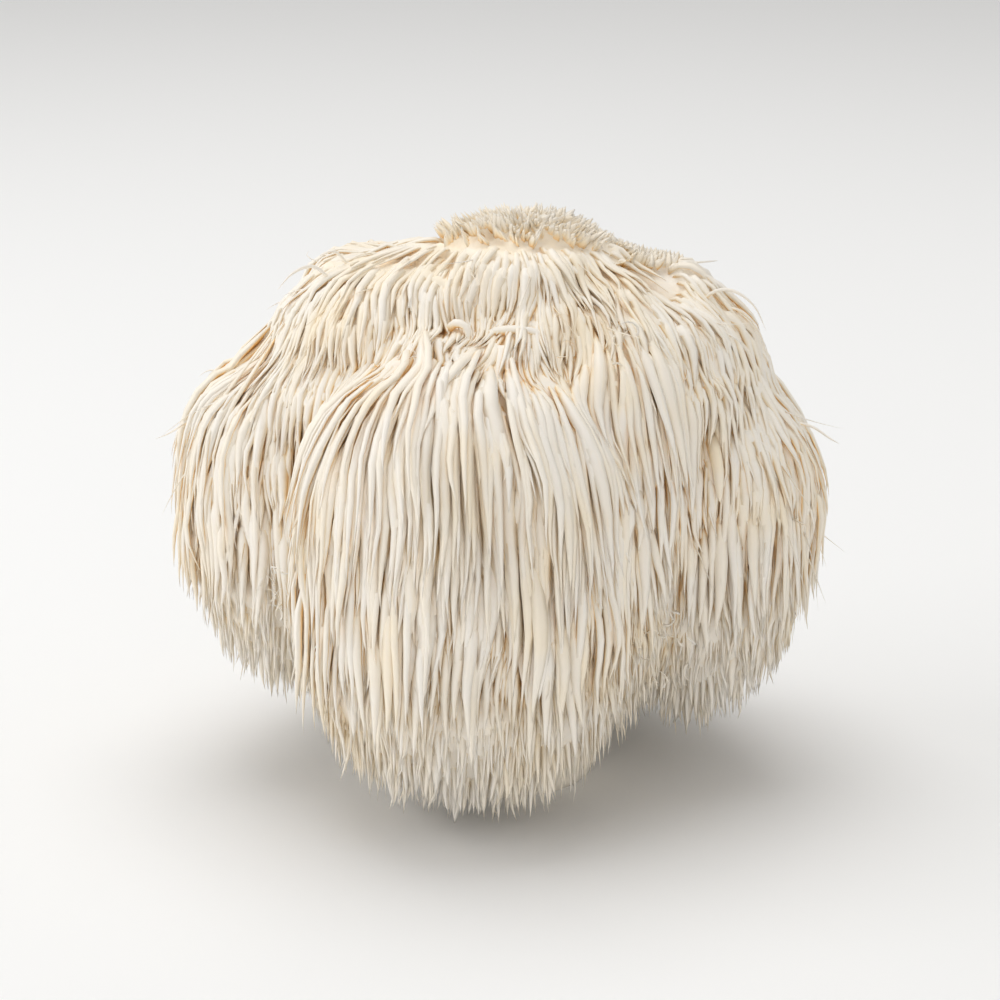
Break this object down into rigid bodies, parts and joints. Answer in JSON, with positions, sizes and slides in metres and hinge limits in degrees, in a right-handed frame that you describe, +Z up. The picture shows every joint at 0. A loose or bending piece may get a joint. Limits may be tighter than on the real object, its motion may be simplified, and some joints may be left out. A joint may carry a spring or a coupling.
{
  "type": "lion's mane mushroom",
  "caption": "Picked lion's mane mushroom: a rounded cluster of grown-together lobes covered with long hanging ivory spines, cut off flat underneath so that it stands.",
  "frame": {"origin": "middle of the footprint of the whole mushroom, on the surface that it stands on", "axes": "+Z up, +X to the right as the picture shows it, -Y towards the viewer of the picture"},
  "size_m": [0.167, 0.1427, 0.1455],
  "materials": {
    "flesh": null
  },
  "bodies": {
    "root": {"lions_mane": "flesh"}
  },
  "joints": []
}
